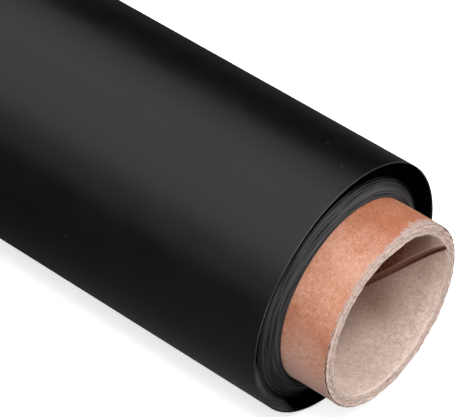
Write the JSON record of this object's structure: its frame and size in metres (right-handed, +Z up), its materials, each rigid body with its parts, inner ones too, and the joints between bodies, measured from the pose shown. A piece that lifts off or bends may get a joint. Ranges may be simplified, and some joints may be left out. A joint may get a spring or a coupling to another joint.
{
  "type": "backdrop paper roll",
  "caption": "Roll of black seamless background paper on a spiral-wound paperboard core that stands out at both ends, with a free paper end that lifts.",
  "frame": {"origin": "on the roll's axis, half way along its length", "axes": "+X along the core's axis, towards the end whose paper edge is dished; +Z up as the roll lies; the sheet's free end is on the +Y side"},
  "size_m": [1.387, 0.0891, 0.0892],
  "materials": {
    "black_paper": "smooth, slightly satin black paper",
    "kraft_liner": "brown kraft, lightly calendered",
    "grey_board": "sawn grey-beige recycled board",
    "bore_liner": "fibrous brown board",
    "masking_tape": "creped paper tape"
  },
  "bodies": {
    "roll": {"core_inner_liner": "bore_liner", "core_body_ply_1": "grey_board", "core_body_ply_2": "grey_board", "core_body_ply_3": "grey_board", "core_body_ply_4": "grey_board", "core_body_ply_5": "grey_board", "core_kraft_liner": "kraft_liner", "paper_start_tape": "masking_tape", "wound_paper": "black_paper", "paper_last_turn": "black_paper"},
    "tail": {"paper_tail": "black_paper"}
  },
  "joints": [
    {"name": "tail_lift", "type": "hinge", "parent": "roll", "child": "tail", "pos_m": [0, 0.03575, 0.02694], "axis": [1, 0, 0], "range_deg": [0, 70]}
  ]
}
